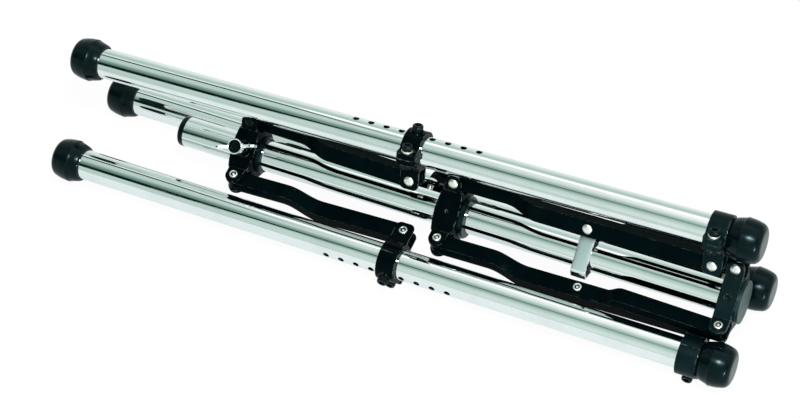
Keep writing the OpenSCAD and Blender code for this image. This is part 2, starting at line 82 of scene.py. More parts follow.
def math_node(tree, operation, *values):
    node = add(tree, "ShaderNodeMath", operation=operation)
    for value, socket in zip(values, node.inputs):
        feed(tree, value, socket)
    return node.outputs[0]


def blend_value(tree, mask, low, high):
    """low where the mask is 0, high where it is 1."""
    node = add(tree, "ShaderNodeMapRange", To_Min=low, To_Max=high)
    tree.links.new(mask, node.inputs["Value"])
    return node.outputs["Result"]


def blend_colour(tree, mask, low, high):
    node = add(tree, "ShaderNodeMix", data_type="RGBA")
    feed(tree, mask, node.inputs[MIX_FACTOR])
    feed(tree, low, node.inputs[MIX_LOW])
    feed(tree, high, node.inputs[MIX_HIGH])
    return node.outputs[MIX_RESULT]


def noise(tree, coordinates, scale, detail=2.0, roughness=0.5):
    node = add(tree, "ShaderNodeTexNoise", Detail=detail, Roughness=roughness)
    tree.links.new(coordinates, node.inputs["Vector"])
    feed(tree, scale, node.inputs["Scale"])
    return node.outputs["Fac"]


def above(tree, value, low, high):
    """0 below low, 1 above high, smooth between."""
    node = add(tree, "ShaderNodeMapRange", interpolation_type="SMOOTHSTEP",
               From_Min=low, From_Max=high)
    tree.links.new(value, node.inputs["Value"])
    return node.outputs["Result"]


def mix_shaders(tree, factor, first, second):
    node = tree.nodes.new("ShaderNodeMixShader")
    for value, socket in zip((factor, first, second), node.inputs):
        tree.links.new(value, socket)
    return node.outputs[0]


def group_tree(name, inputs, outputs):
    """An empty node group with named float or vector inputs and outputs."""
    tree = bpy.data.node_groups.new(name, "ShaderNodeTree")
    for label, default in inputs:
        kind = "NodeSocketVector" if isinstance(default, tuple) else "NodeSocketFloat"
        socket = tree.interface.new_socket(label, in_out="INPUT", socket_type=kind)
        socket.default_value = default
    for label in outputs:
        tree.interface.new_socket(label, in_out="OUTPUT", socket_type="NodeSocketFloat")
    return tree, tree.nodes.new("NodeGroupInput"), tree.nodes.new("NodeGroupOutput")


# Shared surface effects. A mask starts at the first value of its range and is full at the second.

PLACE_INPUT = ("Place", (0.0, 0.0, 0.0))
SMUDGE_RANGE = (0.55, 0.95)
SMUDGE_FINE_SCALE = 9.0
SMUDGE_FINE_SHARE = 0.35
HAIRLINES_PER_METRE = 2600.0
HAIRLINE_RANGE = (0.66, 0.74)
SPECKLE_SCALE = 0.3
SPECKLE_RANGE = (0.62, 0.72)


def make_handling_marks():
    """Smudges, from fingers and dust, in broad soft patches."""
    tree, given, out = group_tree("handling_marks", [PLACE_INPUT, ("Size", 0.03)], ["Mask"])
    per_metre = math_node(tree, "DIVIDE", 1.0, given.outputs["Size"])
    broad = noise(tree, given.outputs["Place"], per_metre, detail=4.0, roughness=0.6)
    fine_per_metre = math_node(tree, "MULTIPLY", per_metre, SMUDGE_FINE_SCALE)
    fine = noise(tree, given.outputs["Place"], fine_per_metre, detail=3.0, roughness=0.7)
    both = math_node(tree, "ADD", broad, math_node(tree, "MULTIPLY", fine, SMUDGE_FINE_SHARE))
    tree.links.new(above(tree, both, *SMUDGE_RANGE), out.inputs["Mask"])
    return tree


def make_fine_scratches():
    """Hairline scratches, drawn out along the tubes."""
    tree, given, out = group_tree("fine_scratches", [PLACE_INPUT, ("Stretch", 30.0)],
                                  ["Mask", "Height"])
    squeeze = add(tree, "ShaderNodeCombineXYZ", Y=1.0, Z=1.0)
    per_stretch = math_node(tree, "DIVIDE", 1.0, given.outputs["Stretch"])
    tree.links.new(per_stretch, squeeze.inputs["X"])
    drawn = add(tree, "ShaderNodeVectorMath", operation="MULTIPLY")
    tree.links.new(given.outputs["Place"], drawn.inputs[0])
    tree.links.new(squeeze.outputs[0], drawn.inputs[1])
    lines = noise(tree, drawn.outputs[0], HAIRLINES_PER_METRE, detail=1.0)
    tree.links.new(above(tree, lines, *HAIRLINE_RANGE), out.inputs["Mask"])
    tree.links.new(lines, out.inputs["Height"])
    return tree


def make_cast_grain():
    """The fine even grain of powder coat, rubber, plating and moulded plastic."""
    tree, given, out = group_tree("cast_grain", [PLACE_INPUT, ("Size", 0.0005)],
                                  ["Height", "Speckle"])
    per_metre = math_node(tree, "DIVIDE", 1.0, given.outputs["Size"])
    grain = noise(tree, given.outputs["Place"], per_metre, detail=3.0, roughness=0.6)
    tree.links.new(grain, out.inputs["Height"])
    coarse_per_metre = math_node(tree, "MULTIPLY", per_metre, SPECKLE_SCALE)
    speckle = noise(tree, given.outputs["Place"], coarse_per_metre)
    tree.links.new(above(tree, speckle, *SPECKLE_RANGE), out.inputs["Speckle"])
    return tree


HANDLING = make_handling_marks()
SCRATCHES = make_fine_scratches()
GRAIN = make_cast_grain()


def effect(tree, group, place, **values):
    """Puts a shared effect into a material with the material's own values."""
    node = tree.nodes.new("ShaderNodeGroup")
    node.node_tree = group
    tree.links.new(place, node.inputs["Place"])
    for name, value in values.items():
        node.inputs[name].default_value = value
    return node.outputs


def start_material(name, **constants):
    """A material with a Principled shader, whose constants sit on its own sockets."""
    material = bpy.data.materials.new(name)
    material.use_nodes = True
    tree = material.node_tree
    shader = tree.nodes["Principled BSDF"]
    for label, value in constants.items():
        shader.inputs[label.replace("_", " ")].default_value = value
    place = tree.nodes.new("ShaderNodeTexCoord").outputs["Object"]
    return material, tree, shader, place


def bump(tree, shader, height, depth, rounding=None):
    node = add(tree, "ShaderNodeBump", Strength=1.0, Distance=depth)
    tree.links.new(height, node.inputs["Height"])
    if rounding is not None:
        tree.links.new(rounding, node.inputs["Normal"])
    tree.links.new(node.outputs["Normal"], shader.inputs["Normal"])


# How far the rounded normal agrees with the true one where an edge starts, and where it is full.
EDGE_STARTS, EDGE_FULL = 0.995, 0.85
EDGE_SAMPLES = 6


def rounded_edge(tree, radius):
    """The normal of an edge with a small radius, and a mask that is 1 on that edge."""
    soft = add(tree, "ShaderNodeBevel", samples=EDGE_SAMPLES, Radius=radius)
    true_normal = tree.nodes.new("ShaderNodeNewGeometry").outputs["Normal"]
    facing = add(tree, "ShaderNodeVectorMath", operation="DOT_PRODUCT")
    tree.links.new(soft.outputs[0], facing.inputs[0])
    tree.links.new(true_normal, facing.inputs[1])
    edge = add(tree, "ShaderNodeMapRange", From_Min=EDGE_STARTS, From_Max=EDGE_FULL)
    tree.links.new(facing.outputs["Value"], edge.inputs["Value"])
    return soft.outputs[0], edge.outputs["Result"]


# Finishes. An effect's Size is the width of its marks in metres.

# The black pieces' sheen leans to blue green, and a low IOR keeps them dark where they are seen
# edge on.
COLD_SHEEN = (0.6, 0.95, 1.0, 1.0)
COAT_IOR = 1.25

# What smudges and hairlines add to a finish's roughness.
CHROME_SMUDGE, CHROME_HAIRLINE = 0.07, 0.06
COAT_SMUDGE = 0.1
PLATE_SMUDGE = 0.12

# How deep each finish's relief is, in metres.
HAIRLINE_DEPTH = 0.0000015
PLATE_GRAIN_DEPTH = 0.000004
RUBBER_GRAIN_DEPTH = 0.000008
COAT_GRAIN_DEPTH = 0.000012

# Patches where the coat's edges are paler from wear and from a painted highlight, and how far that
# paler colour covers them there.
WEAR_AND_HIGHLIGHT_PATCHES_PER_METRE = 260.0
WEAR_AND_HIGHLIGHT_RANGE = (0.45, 0.62)
WEAR_AND_HIGHLIGHT_SHARE = 0.7

# How far the scuffed colour covers rubber in its specks.
SPECKLE_SHARE = 0.25

# What dust, scuffs and tarnish do to a colour: each multiplies it and adds a haze.
DUST = (1.4, 0.0004)
SCUFFS = (1.6, 0.0008)
TARNISH = (0.8, 0.0)


def faded(colour, gain, haze):
    return tuple(c * gain + haze for c in colour)


def make_chrome(name, tint, worn_tint, roughness):
    material, tree, shader, place = start_material(name, Metallic=1.0)
    smudge = effect(tree, HANDLING, place, Size=0.035)["Mask"]
    hairline = effect(tree, SCRATCHES, place, Stretch=40.0)
    tree.links.new(blend_colour(tree, smudge, tint, worn_tint), shader.inputs["Base Color"])
    smudged = math_node(tree, "MULTIPLY", smudge, CHROME_SMUDGE)
    scratched = math_node(tree, "MULTIPLY", hairline["Mask"], CHROME_HAIRLINE)
    dull = math_node(tree, "ADD", smudged, scratched)
    tree.links.new(math_node(tree, "ADD", dull, roughness), shader.inputs["Roughness"])
    bump(tree, shader, hairline["Height"], HAIRLINE_DEPTH)
    return material


def make_black_coat(name, colour, worn_and_lit_edge_colour, gloss, roughness, radius):
    """Powder coat or black oxide over edges of a radius, paler there in patches from wear and a
    painted highlight.
    """
    material, tree, shader, place = start_material(
        name, IOR=COAT_IOR, Specular_IOR_Level=gloss, Specular_Tint=COLD_SHEEN)
    soft_normal, edge = rounded_edge(tree, radius)
    smudge = effect(tree, HANDLING, place, Size=0.02)["Mask"]
    grain = effect(tree, GRAIN, place, Size=0.0006)
    patches = noise(tree, place, WEAR_AND_HIGHLIGHT_PATCHES_PER_METRE, detail=3.0)
    wear_and_highlight = math_node(tree, "MULTIPLY", edge, above(tree, patches, *WEAR_AND_HIGHLIGHT_RANGE))
    coat = blend_colour(tree, smudge, colour, faded(colour, *DUST))
    # Paler edges: wear, and a painted highlight standing in for light on the rounded edges.
    coat = blend_colour(tree, math_node(tree, "MULTIPLY", wear_and_highlight, WEAR_AND_HIGHLIGHT_SHARE), coat, worn_and_lit_edge_colour)
    tree.links.new(coat, shader.inputs["Base Color"])
    tree.links.new(blend_value(tree, smudge, roughness, roughness + COAT_SMUDGE),
                   shader.inputs["Roughness"])
    bump(tree, shader, grain["Height"], COAT_GRAIN_DEPTH, soft_normal)
    return material


def make_rubber(name, colour, gloss, roughness):
    """Rubber or moulded plastic, scuffed paler in smudges and fine specks."""
    material, tree, shader, place = start_material(
        name, IOR=COAT_IOR, Specular_IOR_Level=gloss, Specular_Tint=COLD_SHEEN)
    smudge = effect(tree, HANDLING, place, Size=0.012)["Mask"]
    grain = effect(tree, GRAIN, place, Size=0.0009)
    scuffed = faded(colour, *SCUFFS)
    coat = blend_colour(tree, smudge, colour, scuffed)
    specks = math_node(tree, "MULTIPLY", grain["Speckle"], SPECKLE_SHARE)
    tree.links.new(blend_colour(tree, specks, coat, scuffed), shader.inputs["Base Color"])
    tree.links.new(blend_value(tree, smudge, roughness, roughness + COAT_SMUDGE),
                   shader.inputs["Roughness"])
    bump(tree, shader, grain["Height"], RUBBER_GRAIN_DEPTH)
    return material


def make_plated(name, tint, roughness):
    """Bright nickel or zinc, tarnished a little darker in smudges."""
    material, tree, shader, place = start_material(name, Metallic=1.0)
    smudge = effect(tree, HANDLING, place, Size=0.006)["Mask"]
    grain = effect(tree, GRAIN, place, Size=0.0004)
    tint_and_tarnish = blend_colour(tree, smudge, tint, faded(tint, *TARNISH))
    tree.links.new(tint_and_tarnish, shader.inputs["Base Color"])
    tree.links.new(blend_value(tree, smudge, roughness, roughness + PLATE_SMUDGE),
                   shader.inputs["Roughness"])
    bump(tree, shader, grain["Height"], PLATE_GRAIN_DEPTH)
    return material


CHROME = make_chrome("tube_chrome", tint=(0.88, 0.9, 0.895), worn_tint=(0.82, 0.85, 0.84),
                     roughness=0.03)
BAND_CHROME = make_chrome("band_chrome", tint=(0.92, 0.95, 0.98), worn_tint=(0.84, 0.88, 0.91),
                          roughness=0.19)
WING_CHROME = make_chrome("wing_chrome", tint=(0.92, 0.95, 0.96), worn_tint=(0.82, 0.86, 0.87),
                          roughness=0.16)
# Each coat's edge colour is wear and a painted highlight on its rounded edges.
ARM_COAT = make_black_coat("arm_powder_coat", colour=(0.0002, 0.0021, 0.0027),
                           worn_and_lit_edge_colour=(0.07, 0.09, 0.088),
                           gloss=0.04, roughness=0.16, radius=0.6 * MM)
HUB_COAT = make_black_coat("hub_powder_coat", colour=(0.0002, 0.0014, 0.0019),
                           worn_and_lit_edge_colour=(0.17, 0.22, 0.215),
                           gloss=0.11, roughness=0.13, radius=1.1 * MM)
# The end hub and low clamps have the hubs' powder coat, glossier and rougher, in a paler colour
# that is painted light: the light is brighter at that end of the stand.
END_COAT_PAINTED_LIGHTER = make_black_coat("end_coat_painted_lighter", colour=(0.0006, 0.0044, 0.0058),
                            worn_and_lit_edge_colour=(0.12, 0.16, 0.155),
                            gloss=0.34, roughness=0.3, radius=1.1 * MM)
BLACK_OXIDE = make_black_coat("bolt_black_oxide", colour=(0.0012, 0.004, 0.0045),
                              worn_and_lit_edge_colour=(0.06, 0.075, 0.07),
                              gloss=0.36, roughness=0.2, radius=0.3 * MM)
RUBBER = make_rubber("cap_rubber", colour=(0.0002, 0.0022, 0.0032), gloss=0.5, roughness=0.2)
BUSH_PLASTIC = make_rubber("bush_nylon", colour=(0.0008, 0.0042, 0.005), gloss=0.6,
                           roughness=0.16)
DISC_PLASTIC = make_rubber("disc_plastic", colour=(0.011, 0.025, 0.0235), gloss=0.9,
                           roughness=0.36)
NICKEL = make_plated("pin_nickel", tint=(0.97, 0.97, 0.91), roughness=0.3)
ZINC = make_plated("washer_zinc", tint=(0.93, 0.93, 0.87), roughness=0.32)

# A node takes the finish of the first of these that its name starts with.
FINISH_OF = (
    ("centre_tube_plug", DISC_PLASTIC), ("centre_tube", CHROME), ("leg_tube", CHROME),
    ("stop_band", BAND_CHROME), ("wing_screw", WING_CHROME),
    ("foot", RUBBER), ("top_tip", RUBBER), ("end_disc", DISC_PLASTIC),
    ("runner_bush", BUSH_PLASTIC), ("top_hub_bush", BUSH_PLASTIC),
    ("end_hub_pins", NICKEL), ("runner_pins", NICKEL), ("top_hub_pins", NICKEL),
    ("clamp_pins", NICKEL), ("scissor_rivet", NICKEL),
    ("end_hub_set_screw", BLACK_OXIDE), ("clamp_bolts", BLACK_OXIDE),
    ("end_hub", END_COAT_PAINTED_LIGHTER), ("lower_runner", HUB_COAT), ("top_hub", HUB_COAT),
    ("low_strap", END_COAT_PAINTED_LIGHTER), ("low_saddle", END_COAT_PAINTED_LIGHTER),
    ("mid_strap", HUB_COAT), ("mid_saddle", HUB_COAT),
    ("long_arm", ARM_COAT), ("short_link", ARM_COAT), ("upper_arm", ARM_COAT),
)


def finish_nodes():
    for name, part in nodes.items():
        finish = next(f for start, f in FINISH_OF if name.startswith(start))
        for place in part.material_slots:
            place.material = finish


finish_nodes()


# Turned pieces. Each is a list of rings, (height, radius), from one end of the piece to the other.

RING_POINTS = 72
CREASE = 32  # degrees between faces, from where on their edge is sharp
HEXAGON_HALF_SIDE = math.pi / 6  # the angle that half a side takes, seen from the middle


def profile(height, radius, *points):
    """Rings at points given in millimetres: up from a height, and out from a radius."""
    return [(height + up * MM, radius + out * MM) for up, out in points]


def hexagon(across_flats):
    """Radius of a hexagon's outline in a direction."""
    def radius(angle):
        turn = (angle + HEXAGON_HALF_SIDE) % (2 * HEXAGON_HALF_SIDE) - HEXAGON_HALF_SIDE
        return across_flats / 2 / math.cos(turn)
    return radius


def knurled(radius, depth, teeth):
    return lambda angle: radius - depth * (0.5 + 0.5 * math.cos(teeth * angle))


def trimmed(outline, limit):
    """An outline cut to a circle, as a nut's chamfer cuts its corners."""
    return lambda angle: min(outline(angle), limit)


def mesh_object(name, mesh, finish, crease=CREASE):
    """An object from a bmesh, smooth except where it turns by more than crease, in degrees."""
    bmesh.ops.recalc_face_normals(mesh, faces=mesh.faces)
    data = bpy.data.meshes.new(name)
    mesh.to_mesh(data)
    mesh.free()
    body = bpy.data.objects.new(name, data)
    bpy.context.scene.collection.objects.link(body)
    data.materials.append(finish)
    for face in data.polygons:
        face.use_smooth = True
    data.set_sharp_from_angle(angle=math.radians(crease))
    return body


def ring_body(name, rings, finish, crease=CREASE):
    """A closed body from rings, where a radius is a number or depends on the angle."""
    mesh = bmesh.new()
    loops = []
    for height, radius in rings:
        loop = []
        for i in range(RING_POINTS):
            angle = 2 * math.pi * i / RING_POINTS
            r = radius(angle) if callable(radius) else radius
            loop.append(mesh.verts.new((r * math.cos(angle), r * math.sin(angle), height)))
        loops.append(loop)
    for low, high in zip(loops, loops[1:]):
        for i in range(RING_POINTS):
            k = (i + 1) % RING_POINTS
            mesh.faces.new((low[i], low[k], high[k], high[i]))
    mesh.faces.new(list(reversed(loops[0])))
    mesh.faces.new(loops[-1])
    return mesh_object(name, mesh, finish, crease)


def paint_recess_shade(piece, inner, outer, low, high):
    """Paints a socket or bore dark with black oxide, as painted shade in the recess: the faces
    between two radii and two heights."""
    piece.data.materials.append(BLACK_OXIDE)
    for face in piece.data.polygons:
        x, y, z = face.center
        if inner <= math.hypot(x, y) < outer and low < z < high:
            face.material_index = 1


# Fasteners of the clamps: knurled socket bolts, washers and nuts, in place of their plain solids.

BOLT_R = 3.0 * MM
FIT = 0.02 * MM  # how much thinner a shank is than its thread or hole
THREAD_PITCH = 1.0 * MM
THREAD_DEPTH = 0.35 * MM
CREST_SHARES = (0.45, 0.55)
HEAD_R = 5.0 * MM
HEAD_H = 5.3 * MM
SET_HEAD_H = 6.0 * MM
KNURL_DEPTH = 0.22 * MM
KNURL_TEETH = 36
KEY_AF = 5.0 * MM
KEY_CORNER_R = KEY_AF / 2 / math.cos(HEXAGON_HALF_SIDE)
WASHER_R = 5.3 * MM
WASHER_T = 2.1 * MM
WASHER_RIM = 0.3 * MM
WASHER_HOLE_R = BOLT_R + 0.25 * MM
NUT_AF = 9.8 * MM
NUT_T = 5.0 * MM
NUT_FACE_R = NUT_AF / 2 - 0.5 * MM
NUT_HOLE_R = BOLT_R + 0.05 * MM
BOLT_PAST_NUT = 1.2 * MM

# Places on a clamp, measured from the leg's axis over the clamp's pivot.
LUG_TOP = 6.3 * MM
LUG_BOTTOM = -4.7 * MM
BOLT_OFFSET = 20.8 * MM
CLAMP_SHIFT = 1.0 * MM
CLAMP_DROP = 29.5 * MM
SET_BOLT_TIP = 14.6 * MM
SET_THREAD_END = 17.4 * MM
SET_BOLT_TOP = 24.6 * MM


def thread_rings(start, end):
    """Rings of a screw's roots and crests between two heights."""
    rings = []
    for turn in range(int((end - start) / THREAD_PITCH)):
        root = start + turn * THREAD_PITCH
        rings.append((root, BOLT_R - THREAD_DEPTH))
        rings += [(root + share * THREAD_PITCH, BOLT_R) for share in CREST_SHARES]
    return rings


def head_rings(top, head_h):
    """A socket head from its underside up, and down into its hexagonal socket."""
    grip, key = knurled(HEAD_R, KNURL_DEPTH, KNURL_TEETH), hexagon(KEY_AF)
    foot, floor_z = top - head_h, top - HEAD_H / 2
    return [*profile(foot, HEAD_R, (0, -0.3), (0.3, -0.2)),
            (foot + 0.7 * MM, grip), (top - 1.3 * MM, grip),
            *profile(top, HEAD_R, (-0.9, -0.25), (-0.4, -0.3), (0, -0.9)),
            (top, KEY_CORNER_R + 0.25 * MM), (top - 0.35 * MM, key), (floor_z, key),
            (floor_z - 0.6 * MM, 0.2 * MM)]


def bolt(name, top, head_h, tip, thread_end):
    rings = profile(tip, BOLT_R, (0, -0.8), (0.5, -0.35))
    rings += thread_rings(tip + 0.6 * MM, thread_end)
    rings += [(thread_end + 0.1 * MM, BOLT_R - FIT), (top - head_h, BOLT_R - FIT)]
    return ring_body(name, rings + head_rings(top, head_h), BLACK_OXIDE)


def washer(name, seat):
    top = seat + WASHER_T
    rings = [(seat, WASHER_HOLE_R), (seat, WASHER_R - WASHER_RIM), (seat + WASHER_RIM, WASHER_R),
             (top - WASHER_RIM, WASHER_R), (top, WASHER_R - WASHER_RIM), (top, WASHER_HOLE_R)]
    return ring_body(name, rings, ZINC)


def nut(name, seat):
    """A nut below its seat, with the same chamfer on both faces."""
    outline = hexagon(NUT_AF)
    chamfer = trimmed(outline, NUT_AF / 2 + 0.1 * MM)
    half = [(0.0, NUT_HOLE_R), (0.0, NUT_FACE_R), (0.25 * MM, chamfer), (0.7 * MM, outline)]
    rings = [(seat - NUT_T + height, radius) for height, radius in half]
    rings += [(seat - height, radius) for height, radius in reversed(half)]
    return ring_body(name, rings, BLACK_OXIDE)


def joint_place(name):
    return Vector(joints[name]["pos_m"])


def joint_axis(name):
    return Vector(joints[name]["axis"]).normalized()


def clamp_frame(leg, joint):
    """A matrix whose origin is on the leg's axis over a clamp's pivot, with X along the leg and
    Z outward."""
    along = joint_axis(f"leg_{leg}_slide")
    across = joint_axis(joint)
    out = along.cross(across)
    turn = Matrix((along, across, out)).transposed().to_4x4()
    return Matrix.Translation(joint_place(joint) + out * CLAMP_DROP) @ turn


def place_on_clamp(piece, seat, leg, offset):
    piece.matrix_world = seat @ Matrix.Translation(offset)
    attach(piece, f"clamps_{leg}")


def fit_clamp_fasteners():
    beside_leg = Vector((CLAMP_SHIFT, -BOLT_OFFSET, 0))
    over_leg = Vector((CLAMP_SHIFT, 0, 0))
    bolt_top = LUG_TOP + WASHER_T + HEAD_H
    bolt_tip = LUG_BOTTOM - NUT_T - BOLT_PAST_NUT
    for leg in LEGS:
        for clamp, joint in (("low", f"clamps_{leg}_turn"), ("mid", f"upper_{leg}_turn")):
            seat = clamp_frame(leg, joint)
            pieces = [bolt(f"{clamp}_clamp_bolt_{leg}", bolt_top, HEAD_H, bolt_tip, LUG_BOTTOM),
                      washer(f"{clamp}_clamp_washer_{leg}", LUG_TOP),
                      nut(f"{clamp}_clamp_nut_{leg}", LUG_BOTTOM)]
            for piece in pieces:
                place_on_clamp(piece, seat, leg, beside_leg)
            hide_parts(f"clamp_bolts_{leg}")
            if clamp == "mid":
                set_bolt = bolt(f"set_bolt_{leg}", SET_BOLT_TOP, SET_HEAD_H, SET_BOLT_TIP,
                                SET_THREAD_END)
                place_on_clamp(set_bolt, seat, leg, over_leg)


fit_clamp_fasteners()


# Pins of the joints, with a domed head on one side and, except on the low clamps, a socket head on
# the other.

PIN_R = 3.0 * MM
DOME_R = 4.8 * MM
DOME_H = 2.4 * MM
DOME_RIM = 0.2 * MM
DOME_ANGLES = range(4, 85, 10)  # degrees down from its top
SOCKET_HEAD_R = 4.0 * MM
SOCKET_HEAD_H = 2.1 * MM
SOCKET_AF = 4.7 * MM
FORK_HALF = 9.6 * MM
CLAMP_HALF = 8.2 * MM
SCISSOR_DOME_SEAT = -13.8 * MM
SCISSOR_SOCKET_SEAT = 0.6 * MM


def dome_rings(seat):
    """A domed head below its seat, from its top up."""
    rings = []
    for degrees in DOME_ANGLES:
        angle = math.radians(degrees)
        rings.append((seat - DOME_RIM - (DOME_H - DOME_RIM) * math.cos(angle),
                      DOME_R * math.sin(angle)))
    return rings + [(seat - DOME_RIM, DOME_R), (seat, DOME_R - 0.15 * MM)]


def socket_rings(seat):
    """A flat head over its seat, with a hexagonal socket round a raised middle."""
    top, key = seat + SOCKET_HEAD_H, hexagon(SOCKET_AF)
    return [*profile(seat, SOCKET_HEAD_R, (0, -0.2), (0.3, 0)),
            *profile(top, SOCKET_HEAD_R, (-0.8, 0), (-0.25, -0.25), (0, -0.8)),
            (top, 2.75 * MM), (top - 0.3 * MM, key), (top - 2.0 * MM, key),
            *profile(top, 0.0, (-2.0, 1.5), (-0.8, 1.35), (-0.55, 1.0), (-0.5, 0.05))]


def rivet(name, dome_seat, far_seat, finish, raised=True):
    """A pin between two seats, whose far end is a socket head, or flush where it isn't raised."""
    shank = [(dome_seat, PIN_R - FIT), (far_seat - 0.2 * MM, PIN_R - FIT)]
    flush_end = [(far_seat, PIN_R - 0.2 * MM), (far_seat, 0.05 * MM)]
    far_end = socket_rings(far_seat) if raised else flush_end
    pin = ring_body(name, dome_rings(dome_seat) + shank + far_end, finish)
    if raised:
        top = far_seat + SOCKET_HEAD_H
        # The socket's walls and groove are painted dark: painted shade.
        paint_recess_shade(pin, inner=1.25 * MM, outer=2.6 * MM, low=top - 2.1 * MM, high=top - 0.2 * MM)
    return pin


def place_pin(pin, across, place, body, stands_for):
    along = (ALONG_STAND - across * ALONG_STAND.dot(across)).normalized()
    turn = Matrix((along, across.cross(along), across)).transposed().to_4x4()
    pin.matrix_world = Matrix.Translation(place) @ turn
    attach(pin, body)
    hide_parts(stands_for)


def fit_rivets():
    for leg in LEGS:
        across = joint_axis(f"link_{leg}_fold")
        folding = joint_place(f"link_{leg}_fold")
        # The top hub's pin on leg a is black oxide, darker than the nickel pins of the other legs
        # and hubs.
        top_finish = BLACK_OXIDE if leg == "a" else NICKEL
        hubs = (("end_hub", "centre", folding.x, NICKEL),
                ("runner", "runner", joint_place("runner_slide_turn").x, NICKEL),
                ("top_hub", "top_slider", joint_place("top_slider_turn").x, top_finish))
        for hub, body, along, finish in hubs:
            pin = rivet(f"{hub}_pin_{leg}", -FORK_HALF, FORK_HALF, finish)
            place_pin(pin, across, Vector((along, folding.y, folding.z)), body, f"{hub}_pins")
        scissor = rivet(f"scissor_pin_{leg}", SCISSOR_DOME_SEAT, SCISSOR_SOCKET_SEAT, NICKEL)
        place_pin(scissor, across, joint_place(f"arm_{leg}_turn"), f"link_{leg}",
                  f"scissor_rivet_{leg}")
        for clamp, joint in (("low", f"clamps_{leg}_turn"), ("mid", f"upper_{leg}_turn")):
            pin = rivet(f"{clamp}_clamp_pin_{leg}", -CLAMP_HALF, CLAMP_HALF, NICKEL,
                        raised=clamp == "mid")
            place_pin(pin, across, joint_place(joint), f"clamps_{leg}", f"clamp_pins_{leg}")


fit_rivets()


# Stop band, end plug and wing screw, in place of their plain solids.

TUBE_R = 14.3 * MM

BAND_REACH = 21.6 * MM
BAND_T = 2.0 * MM
BAND_BEND = 2.2 * MM
BAND_TURN = 60  # degrees from one flat to the next
BAND_STEPS = 6
BAND_CREASE = 40

PLUG_OUT = 4.4 * MM
PLUG_LAP = 2.0 * MM
PLUG_DEPTH = 12.0 * MM
PLUG_STEM_R = 12.0 * MM

WING_BASE = 33.0 * MM
WING_H = 13.0 * MM
WING_HALF = 21.0 * MM
WING_T = 4.2 * MM
WING_TIP_R = 4.7 * MM
WING_TIP_ANGLES = range(-40, 121, 16)  # degrees up from straight out
WING_THINS = 0.18  # the share of its thickness that each face loses toward the tip
WING_RIM = 0.9 * MM
WING_RIM_STEPS = 3
WING_RIM_CREASE = 40
WING_SLANT = 17.0  # degrees that the blades are turned from the stand's length
BARREL_R = 7.4 * MM
BARREL_H = 11.0 * MM
BORE_R = 6.1 * MM


def tube_centre():
    low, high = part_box("end_disc")
    return Vector((0, (low.y + high.y) / 2, (low.z + high.z) / 2))


def band_bends(first_angle):
    """The band's bends between its flats: each has a centre in (y, z) and its arc's angles."""
    bends = []
    for k in range(360 // BAND_TURN):
        a0 = first_angle + math.radians(BAND_TURN * k)
        a1 = first_angle + math.radians(BAND_TURN * (k + 1))
        flats = (BAND_REACH, TUBE_R) if k % 2 == 0 else (TUBE_R, BAND_REACH)
        p, q = flats[0] - BAND_BEND, flats[1] - BAND_BEND
        turn = math.sin(a1 - a0)
        centre = ((p * math.sin(a1) - q * math.sin(a0)) / turn,
                  (q * math.cos(a0) - p * math.cos(a1)) / turn)
        bends.append((centre, [a0 + (a1 - a0) * i / BAND_STEPS for i in range(BAND_STEPS + 1)]))
    return bends


def make_stop_band():
    """A strip bent round the tube: three sides lie on it, and three cut off the corners."""
    low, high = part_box("stop_band")
    half = (high.x - low.x) / 2
    outward = ALONG_STAND.cross(joint_axis("link_c_fold"))
    section = [(-half, 0.0),
               *profile(-half, BAND_T, (0, -0.5), (0.1, -0.2), (0.35, -0.02), (0.6, 0)),
               (-half / 2, BAND_T + 0.04 * MM), (0.0, BAND_T + 0.06 * MM)]
    section += [(-x, t) for x, t in reversed(section[:-1])]
    centre = tube_centre() + Vector(((low.x + high.x) / 2, 0, 0))
    mesh = bmesh.new()
    loops = []
    for (y, z), angles in band_bends(math.atan2(outward.z, outward.y)):
        for angle in angles:
            loops.append([mesh.verts.new(centre + Vector((x, y + (BAND_BEND + t) * math.cos(angle),
                                                          z + (BAND_BEND + t) * math.sin(angle))))
                          for x, t in section])
    for i, loop in enumerate(loops):
        after = loops[(i + 1) % len(loops)]
        for j in range(len(section)):
            k = (j + 1) % len(section)
            mesh.faces.new((loop[j], loop[k], after[k], after[j]))
    band = mesh_object("stop_band_strip", mesh, BAND_CHROME, BAND_CREASE)
    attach(band, "centre")
    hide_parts("stop_band")


def make_end_plug():
    """A plug with a rounded face, whose lip covers the end of the centre tube."""
    rings = [(-PLUG_OUT, 0.1 * MM),
             *profile(-PLUG_OUT, TUBE_R, (0, -3.2), (0.3, -1.9), (0.9, -0.8), (1.8, -0.1),
                      (2.8, 0.2)),
             *profile(PLUG_LAP, TUBE_R, (-0.2, 0.2), (0, 0.03), (0, -0.4)),
             (0.0, TUBE_R - 0.4 * MM), (0.0, PLUG_STEM_R), (PLUG_DEPTH, PLUG_STEM_R - 0.1 * MM),
             (PLUG_DEPTH, 0.1 * MM)]
    plug = ring_body("end_plug", rings, RUBBER)
    turn = Matrix(((0, 0, 1), (0, 1, 0), (-1, 0, 0))).to_4x4()
    tube_end = Vector((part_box("centre_tube")[0].x, 0, 0))
    plug.matrix_world = Matrix.Translation(tube_centre() + tube_end) @ turn
    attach(plug, "centre")
    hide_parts("centre_tube_plug")


